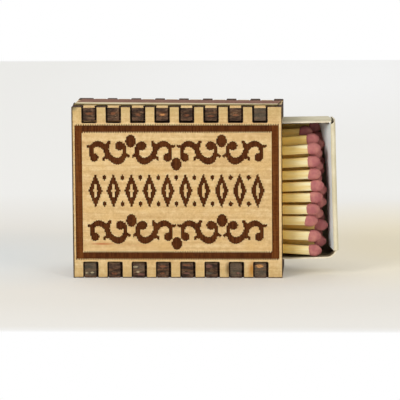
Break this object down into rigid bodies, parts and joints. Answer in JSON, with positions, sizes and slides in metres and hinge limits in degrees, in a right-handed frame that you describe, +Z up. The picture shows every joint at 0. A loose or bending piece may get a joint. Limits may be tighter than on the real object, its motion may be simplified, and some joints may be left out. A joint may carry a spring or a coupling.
{
  "type": "matchbox",
  "caption": "Plywood sleeve with finger joints, an engraved ornament and a striker strip, with a sliding card tray full of wooden matches.",
  "frame": {"origin": "centre of the sleeve's underside", "axes": "+Z up, +X along the sleeve towards the end the tray is slid out of, -Y out of the engraved front"},
  "size_m": [0.0664, 0.0216, 0.0435],
  "materials": {
    "birch_ply": "raw birch plywood with burnt laser-cut edges and dark brown laser engraving",
    "striker": "thin card coated with matt maroon friction compound",
    "tray_card": "matt grey-white box card",
    "match_wood": "raw split aspen",
    "match_head": "matt dusty pink match compound",
    "whole_match": "raw split aspen with a matt dusty pink head"
  },
  "bodies": {
    "sleeve": {"front_panel": "birch_ply", "back_panel": "birch_ply", "bottom_panel": "birch_ply", "top_panel": "birch_ply", "striker_strip": "striker"},
    "tray": {"tray": "tray_card", "match_01_stick": "match_wood", "match_01_head": "match_head", "match_02_stick": "match_wood", "match_02_head": "match_head", "match_03_stick": "match_wood", "match_03_head": "match_head", "match_04_stick": "match_wood", "match_04_head": "match_head", "match_05_stick": "match_wood", "match_05_head": "match_head", "match_06_stick": "match_wood", "match_06_head": "match_head", "match_07_stick": "match_wood", "match_07_head": "match_head", "match_08_stick": "match_wood", "match_08_head": "match_head", "match_09_stick": "match_wood", "match_09_head": "match_head", "match_10_stick": "match_wood", "match_10_head": "match_head", "match_11_stick": "match_wood", "match_11_head": "match_head", "match_12_stick": "match_wood", "match_12_head": "match_head", "match_13_stick": "match_wood", "match_13_head": "match_head", "match_14_stick": "match_wood", "match_14_head": "match_head", "match_15_stick": "match_wood", "match_15_head": "match_head", "match_16_stick": "match_wood", "match_16_head": "match_head", "match_17_stick": "match_wood", "match_17_head": "match_head", "match_18_stick": "match_wood", "match_18_head": "match_head", "match_19": "whole_match", "match_20": "whole_match", "match_21": "whole_match", "match_22": "whole_match", "match_23": "whole_match", "match_24": "whole_match", "match_25": "whole_match", "match_26": "whole_match", "match_27": "whole_match", "match_28": "whole_match", "match_29": "whole_match", "match_30": "whole_match", "match_31": "whole_match", "match_32": "whole_match", "match_33": "whole_match", "match_34": "whole_match", "match_35": "whole_match", "match_36": "whole_match"}
  },
  "joints": [
    {"name": "tray_slide", "type": "slide", "parent": "sleeve", "child": "tray", "axis": [1, 0, 0], "range_m": [-0.0534, 0.0266]}
  ]
}
